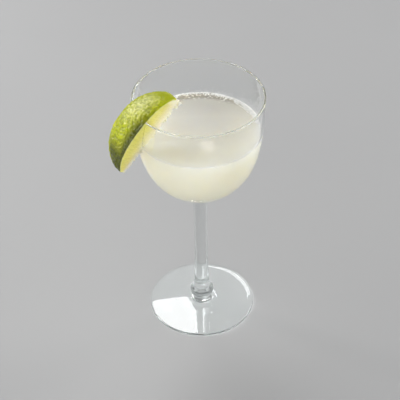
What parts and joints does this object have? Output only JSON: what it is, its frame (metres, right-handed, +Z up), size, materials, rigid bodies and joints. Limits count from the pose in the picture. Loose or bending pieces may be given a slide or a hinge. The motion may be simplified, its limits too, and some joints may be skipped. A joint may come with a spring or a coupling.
{
  "type": "daiquiri",
  "caption": "Pale cloudy daiquiri in a clear stemmed cocktail glass with a deep round bowl, slim stem, small knop and disc foot, and a slit lime wedge pushed onto the rim",
  "frame": {"origin": "centre of the foot's flat underside", "axes": "+Z up along the glass's axis, -Y towards the viewer, +X to the viewer's right, with the lime wedge on the left towards the front"},
  "size_m": [0.0938, 0.08, 0.1746],
  "materials": {
    "clear_glass": "polished, clear",
    "cloudy_drink": "still liquid surface, cloudy",
    "lime": "waxy pebbled rind, wet cut flesh"
  },
  "bodies": {
    "root": {"glass": "clear_glass", "drink": "cloudy_drink", "lime_wedge": "lime"}
  },
  "joints": []
}
